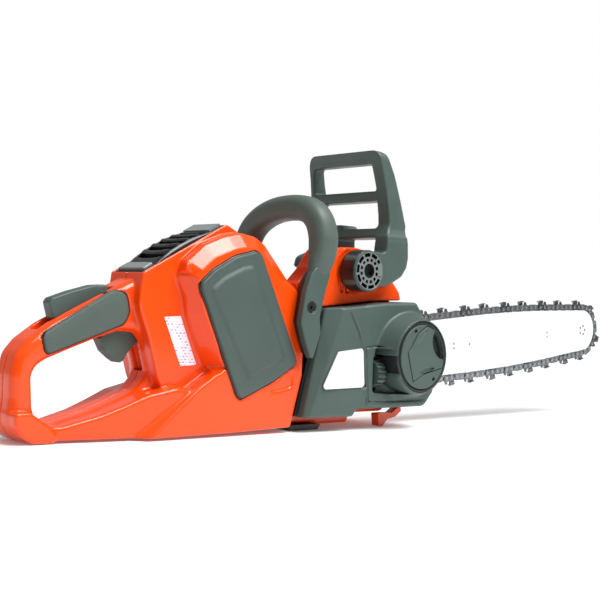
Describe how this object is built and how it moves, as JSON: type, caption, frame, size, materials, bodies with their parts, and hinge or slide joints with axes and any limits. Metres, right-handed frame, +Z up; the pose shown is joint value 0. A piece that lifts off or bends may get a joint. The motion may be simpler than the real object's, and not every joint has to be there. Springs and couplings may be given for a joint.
{
  "type": "battery chainsaw",
  "caption": "Rear-handle battery chainsaw with loop front handle, brake guard, tool-free bar clamp knob, slide-in battery and a chain on a narrow guide bar.",
  "frame": {"origin": "middle of the saw's bounding box at ground level, with the saw standing on its rear flange and front foot", "axes": "+X forward along the saw to the bar nose, +Y to the saw's left, +Z up"},
  "size_m": [0.8316, 0.1631, 0.289],
  "materials": {
    "orange_shell": "glossy moulded polyamide",
    "grey_plastic": "fine satin texture",
    "grey_rubber": "soft-touch overmould",
    "black_plastic": "satin",
    "white_label": "plain film",
    "white_bar": "white lacquer",
    "chain_steel": "ground and oiled",
    "bright_steel": "turned",
    "copper": "enamelled winding",
    "board_green": "solder resist",
    "cell_wrap": "shrink sleeve",
    "tank_plastic": "translucent",
    "latch_grey": "glossy",
    "button_green": "silicone"
  },
  "bodies": {
    "saw_body": {"right_housing": "orange_shell", "left_housing": "orange_shell", "motor_housing": "orange_shell", "mid_frame": "black_plastic", "front_foot": "black_plastic", "chain_catcher": "orange_shell", "grip_pad_right": "grey_rubber", "grip_pad_left": "grey_rubber", "side_pad_right": "grey_rubber", "side_pad_left": "grey_rubber", "rating_label": "white_label", "lever_pins": "bright_steel", "trigger_switch": "black_plastic", "control_board": "board_green", "front_handle": "grey_rubber", "handle_bracket": "grey_plastic", "handle_screws": "bright_steel", "guard_pivots": "bright_steel", "housing_screws": "bright_steel", "sprocket_cover": "grey_plastic", "cover_panel": "white_label", "bar_stud": "bright_steel", "brake_band": "chain_steel", "motor_stator": "copper", "motor_bearings": "bright_steel", "oil_tank": "tank_plastic", "oil_pump": "black_plastic", "keypad": "black_plastic"},
    "trigger": {"throttle_trigger": "grey_plastic"},
    "lockout": {"throttle_lockout": "grey_plastic"},
    "battery": {"battery_pack": "black_plastic", "battery_cells": "cell_wrap", "battery_end_cap": "latch_grey"},
    "latch": {"battery_latch": "latch_grey"},
    "guard": {"hand_guard": "grey_plastic"},
    "knob": {"clamp_knob": "grey_plastic", "knob_ring": "black_plastic", "clamp_nut": "bright_steel", "knob_flap_pin": "bright_steel"},
    "flap": {"knob_flap": "grey_plastic"},
    "wheel": {"tension_wheel": "grey_plastic"},
    "bar": {"guide_bar": "white_bar", "bar_rivets": "bright_steel", "tension_pin": "bright_steel", "drive_links": "chain_steel", "tie_straps": "chain_steel", "cutters_left": "chain_steel", "cutters_right": "chain_steel", "chain_rivets": "chain_steel"},
    "nose": {"nose_sprocket": "chain_steel"},
    "drive": {"drive_sprocket": "chain_steel", "brake_drum": "chain_steel", "motor_shaft": "bright_steel", "motor_rotor": "chain_steel"},
    "filler_cap": {"oil_cap": "black_plastic"},
    "power_key": {"power_button": "button_green"},
    "mode_key": {"mode_button": "latch_grey"}
  },
  "joints": [
    {"name": "trigger_pull", "type": "hinge", "parent": "saw_body", "child": "trigger", "pos_m": [-0.28676, 0.00353, 0.101], "axis": [0, 1, 0], "range_deg": [0, 12], "stiffness_Nm_per_rad": 0.3, "springref_deg": -17.19},
    {"name": "lockout_press", "type": "hinge", "parent": "saw_body", "child": "lockout", "pos_m": [-0.32676, 0.00353, 0.128], "axis": [0, -1, 0], "range_deg": [0, 7], "stiffness_Nm_per_rad": 0.4, "springref_deg": -11.46},
    {"name": "battery_slide", "type": "slide", "parent": "saw_body", "child": "battery", "axis": [-0.4772, 0, 0.8788], "range_m": [0, 0.1]},
    {"name": "latch_press", "type": "slide", "parent": "battery", "child": "latch", "axis": [0.4772, 0, -0.8788], "range_m": [0, 0.0013], "stiffness_N_per_m": 600, "springref_m": -0.002},
    {"name": "guard_push", "type": "hinge", "parent": "saw_body", "child": "guard", "pos_m": [-0.05376, 0.00353, 0.162], "axis": [0, 1, 0], "range_deg": [0, 20]},
    {"name": "knob_turn", "type": "hinge", "parent": "saw_body", "child": "knob", "pos_m": [0.01224, 0.00353, 0.0762], "axis": [0, 1, 0], "continuous": true},
    {"name": "flap_lift", "type": "hinge", "parent": "knob", "child": "flap", "pos_m": [-0.00773, -0.07847, 0.08269], "axis": [0.309, 0, 0.9511], "range_deg": [-80, 0]},
    {"name": "bar_tension", "type": "slide", "parent": "saw_body", "child": "bar", "axis": [0.9964, 0, 0.0849], "range_m": [-0.008, 0]},
    {"name": "wheel_turn", "type": "hinge", "parent": "saw_body", "child": "wheel", "pos_m": [-0.02976, -0.05247, 0.0575], "axis": [1, 0, 0], "range_deg": [-720, 0]},
    {"name": "drive_spin", "type": "hinge", "parent": "saw_body", "child": "drive", "pos_m": [-0.02762, 0.00353, 0.0728], "axis": [0, 1, 0], "continuous": true},
    {"name": "nose_spin", "type": "hinge", "parent": "bar", "child": "nose", "pos_m": [0.37856, -0.03147, 0.10741], "axis": [0, 1, 0], "continuous": true},
    {"name": "oil_cap_turn", "type": "hinge", "parent": "saw_body", "child": "filler_cap", "pos_m": [-0.08376, 0.00353, 0.046], "axis": [0, 1, 0], "range_deg": [0, 90]},
    {"name": "power_press", "type": "slide", "parent": "saw_body", "child": "power_key", "axis": [-0.7242, 0, -0.6896], "range_m": [0, 0.001], "stiffness_N_per_m": 400, "springref_m": -0.002},
    {"name": "mode_press", "type": "slide", "parent": "saw_body", "child": "mode_key", "axis": [-0.7242, 0, -0.6896], "range_m": [0, 0.001], "stiffness_N_per_m": 400, "springref_m": -0.002}
  ],
  "couplings": [
    {"joint": "nose_spin", "follows": "drive_spin", "ratio": 0.6},
    {"joint": "wheel_turn", "follows": "bar_tension", "rad_per_m": 1570.8}
  ]
}
